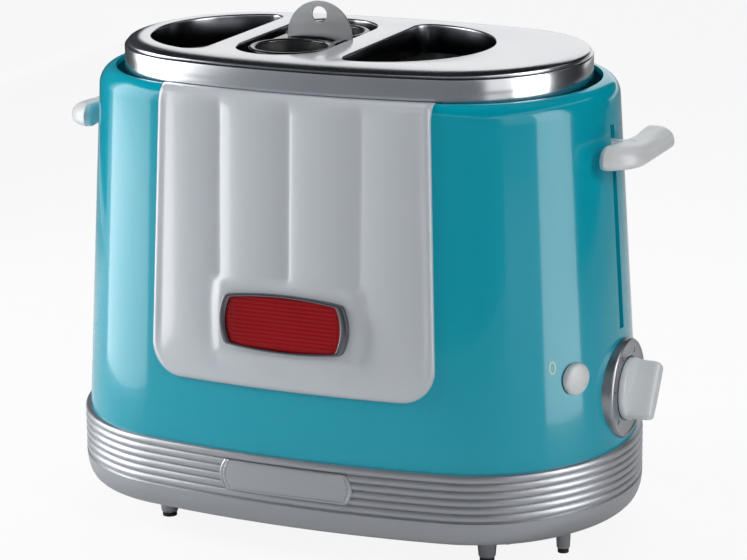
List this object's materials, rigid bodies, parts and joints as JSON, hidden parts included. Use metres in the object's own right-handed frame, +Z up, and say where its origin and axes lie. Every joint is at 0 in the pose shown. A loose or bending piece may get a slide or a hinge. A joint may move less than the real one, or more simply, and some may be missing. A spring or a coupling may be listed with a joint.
{
  "type": "hot dog toaster",
  "caption": "Retro oval hot dog toaster with round bun slots, a lift-out sausage basket, a lever at each end, a timer dial, a stop button, a fluted front panel and a ribbed base.",
  "frame": {"origin": "on the table, under the middle of the toaster", "axes": "+X along the length to the end with the dial, +Y to the back, +Z up"},
  "size_m": [0.3051, 0.1787, 0.2558],
  "materials": {
    "silver_paint": "satin silver paint on moulded plastic",
    "enamel": "gloss turquoise",
    "pale_panel": "gloss pale grey",
    "white_plastic": "gloss white",
    "polished_cover": "polished",
    "bezel_metal": "satin grey",
    "dark_chrome": "polished dark",
    "red_lens": "gloss red",
    "plaque": "satin",
    "galvanised": "dull zinc",
    "mica": "matte mica",
    "ribbon": "dark heating alloy",
    "wire": "bright wire",
    "tab_steel": "grey satin",
    "copper": "enamelled copper",
    "iron": "plain iron",
    "board": "green laminate",
    "black_plastic": "matte black",
    "dark_rubber": "matte black rubber"
  },
  "bodies": {
    "toaster": {"base_housing": "silver_paint", "foot_pads": "dark_rubber", "base_screws": "iron", "base_plaque": "plaque", "outer_shell": "enamel", "front_panel": "pale_panel", "badge_frame": "dark_chrome", "badge_lens": "red_lens", "top_cover": "polished_cover", "frame_front": "galvanised", "frame_back": "galvanised", "end_plate_left": "galvanised", "end_plate_right": "galvanised", "heater_board_left_outer": "mica", "heater_board_left_inner": "mica", "heater_board_right_inner": "mica", "heater_board_right_outer": "mica", "heating_ribbons": "ribbon", "guard_left_outer": "wire", "guard_left_inner": "wire", "guard_right_inner": "wire", "guard_right_outer": "wire", "heat_shield_back": "galvanised", "heat_shield_front": "galvanised", "guide_rods": "wire", "spring_seats": "galvanised", "latch_magnet": "iron", "latch_coil": "copper", "circuit_board": "board", "standoffs": "galvanised", "relay": "black_plastic", "capacitors": "black_plastic", "terminal_block": "white_plastic", "dial_bezel": "bezel_metal", "timer_body": "black_plastic", "stop_switch": "black_plastic", "cord_inlet": "black_plastic"},
    "carriage": {"carriage_frame": "galvanised", "bun_tray_left": "wire", "basket_tray": "wire", "bun_tray_right": "wire", "lever_left": "galvanised", "lever_handle_left": "white_plastic", "lever_right": "galvanised", "lever_handle_right": "white_plastic", "lift_bushes": "black_plastic", "armature": "iron", "return_spring_left": "wire", "return_spring_right": "wire"},
    "basket": {"basket_plate": "polished_cover", "basket_floor": "wire", "basket_tube_front": "wire", "basket_tube_rear": "wire", "basket_tab": "tab_steel"},
    "dial": {"dial_knob": "white_plastic", "dial_shaft": "iron"},
    "stop_button": {"stop_button": "white_plastic"},
    "crumb_tray": {"crumb_tray": "galvanised", "crumb_tray_front": "silver_paint"}
  },
  "joints": [
    {"name": "carriage_slide", "type": "slide", "parent": "toaster", "child": "carriage", "axis": [0, 0, -1], "range_m": [0, 0.08], "stiffness_N_per_m": 60, "springref_m": -0.05, "deforming": ["return_spring_left", "return_spring_right"]},
    {"name": "basket_lift", "type": "slide", "parent": "carriage", "child": "basket", "axis": [0, 0, 1], "range_m": [0, 0.13]},
    {"name": "dial_turn", "type": "hinge", "parent": "toaster", "child": "dial", "pos_m": [0.14, 0, 0.0795], "axis": [1, 0, 0], "range_deg": [0, 270]},
    {"name": "stop_button_press", "type": "slide", "parent": "toaster", "child": "stop_button", "axis": [-0.9078, 0.4195, 0], "range_m": [0, 0.0025], "stiffness_N_per_m": 600, "springref_m": -0.001},
    {"name": "crumb_tray_slide", "type": "slide", "parent": "toaster", "child": "crumb_tray", "axis": [0, 1, 0], "range_m": [0, 0.13]}
  ]
}
